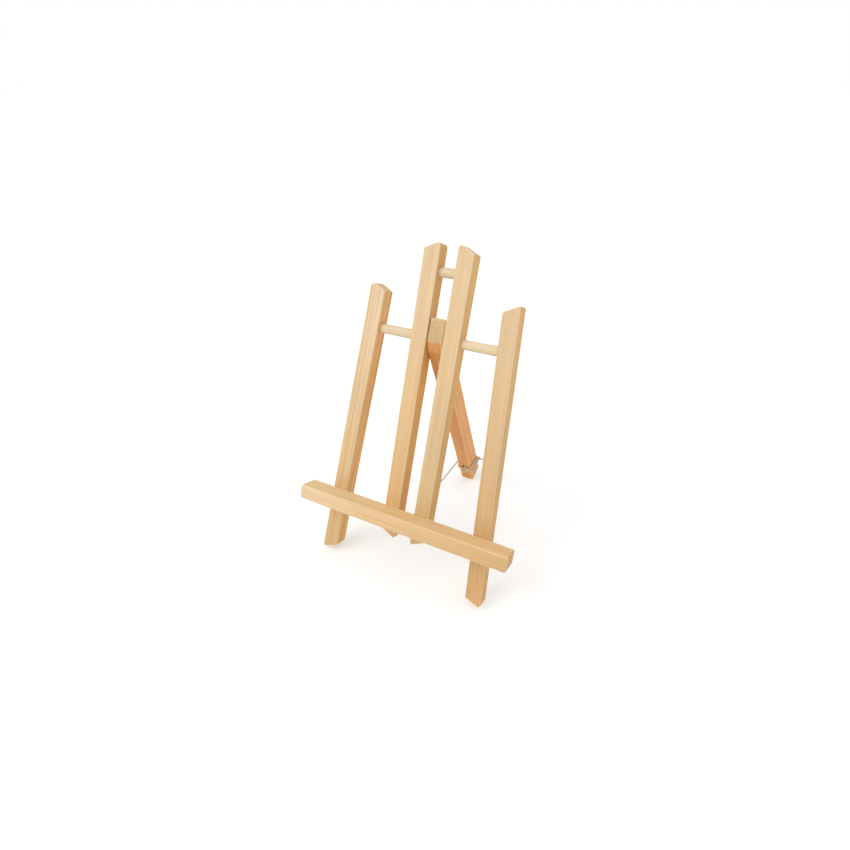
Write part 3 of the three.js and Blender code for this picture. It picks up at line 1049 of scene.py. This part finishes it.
def make_woodwork():
    """All the wooden pieces, each upright in its own cut of pine, and the nails."""
    cream, honey = srgb(229, 200, 160), srgb(208, 166, 115)
    streaky = make_wood(
        "pine_streaky", srgb(231, 207, 172), srgb(203, 159, 104), pith=(-0.06, 0.018),
        ring_width=2.3 * MM, contrast=0.8, drift=(0.012, 0.004), seed=0.3,
    )
    plain = make_wood(
        "pine_plain", cream, honey, pith=(0.02, 0.055),
        ring_width=3.4 * MM, contrast=0.4, drift=(0.006, -0.01), seed=1.7, tints=PLAIN_TINTS,
    )
    soft = make_wood(
        "pine_soft", srgb(224, 196, 157), honey, pith=(-0.035, -0.06),
        ring_width=3.0 * MM, contrast=0.35, drift=(-0.008, 0.006), seed=4.1, tints=MILD_TINTS,
    )
    broad = make_wood(
        "pine_broad", srgb(223, 194, 153), srgb(202, 160, 108), pith=(0.05, 0.03),
        ring_width=2.8 * MM, contrast=0.45, drift=(0.01, 0.004), seed=6.6, tints=WARM_TINTS,
    )
    make_stile("outer", -1, streaky)
    make_stile("inner", -1, plain)
    make_stile("inner", 1, soft)
    make_stile("outer", 1, broad)
    ledge = make_wood(
        "pine_ledge", srgb(236, 205, 163), srgb(206, 158, 104), pith=(0.03, 0.05),
        ring_width=3.2 * MM, contrast=0.5, drift=(0.006, 0.012), seed=9.2, tints=LEDGE_TINTS,
    )
    make_ledge(ledge)
    make_leg()
    birch = make_wood(
        "birch", srgb(225, 204, 171), srgb(210, 184, 144), pith=(0.012, 0.02),
        ring_width=1.6 * MM, contrast=0.3, drift=(0.01, 0.01), seed=5.5, tints=DOWEL_TINTS,
    )
    for node in ("long_dowel", "top_dowel"):
        make_dowel(node, birch)
    steel = make_steel()
    for row in ("outer", "inner"):
        for side_name in ("left", "right"):
            make_nail(f"ledge_nail_{row}_{side_name}", steel)


# ---------------------------------------------------------------- studio


def make_floor():
    """A wide pale floor, just under the feet."""
    shader = Shader("floor")
    shader.bsdf.inputs["Base Color"].default_value = (FLOOR_GREY, FLOOR_GREY, FLOOR_GREY, 1)
    shader.bsdf.inputs["Emission Color"].default_value = (1, 1, 1, 1)
    shader.bsdf.inputs["Emission Strength"].default_value = FLOOR_GLOW
    shader.bsdf.inputs["Roughness"].default_value = 0.85
    shader.bsdf.inputs["Specular IOR Level"].default_value = 0.1
    mesh = bpy.data.meshes.new("floor")
    signs = [(-1, -1), (1, -1), (1, 1), (-1, 1)]
    mesh.from_pydata([(x * FLOOR_HALF, y * FLOOR_HALF, 0) for x, y in signs], [], [(0, 1, 2, 3)])
    place = Matrix.Translation((0, 0, cad_bounds[0].z - FLOOR_GAP))
    floor = to_object("floor", mesh, place, shader.material)


def make_sun(name, toward, strength, spread, colour=(1, 1, 1)):
    """A distant soft light: toward points from the object to the light, and spread is its angular size."""
    data = bpy.data.lights.new(name, "SUN")
    data.energy = strength
    data.angle = math.radians(spread)
    data.color = colour
    light = bpy.data.objects.new(name, data)
    light.rotation_euler = Vector(toward).to_track_quat("Z", "Y").to_euler()
    bpy.context.scene.collection.objects.link(light)


def make_studio():
    """Two soft lights, pale surroundings, and a white backdrop where the camera sees past the floor."""
    make_sun("key", (-0.75, -0.85, 1.0), 1.3, 40, (1, 0.99, 0.97))
    make_sun("top", (0.1, 0.1, 1.0), 0.95, 60)
    world = bpy.data.worlds.new("studio")
    world.use_nodes = True
    nodes, links = world.node_tree.nodes, world.node_tree.links
    surroundings = nodes["Background"]
    surroundings.inputs["Color"].default_value = (1, 1, 1, 1)
    surroundings.inputs["Strength"].default_value = 0.55
    backdrop = nodes.new("ShaderNodeBackground")
    backdrop.inputs["Color"].default_value = (1, 1, 1, 1)
    backdrop.inputs["Strength"].default_value = 1.0
    seen = nodes.new("ShaderNodeLightPath")
    mixed = nodes.new("ShaderNodeMixShader")
    links.new(seen.outputs["Is Camera Ray"], mixed.inputs[0])
    links.new(surroundings.outputs[0], mixed.inputs[1])
    links.new(backdrop.outputs[0], mixed.inputs[2])
    links.new(mixed.outputs[0], nodes["World Output"].inputs[0])
    scene = bpy.context.scene
    scene.world = world
    scene.view_settings.view_transform = "Standard"


make_camera()
make_cords()
make_woodwork()
make_floor()
make_studio()
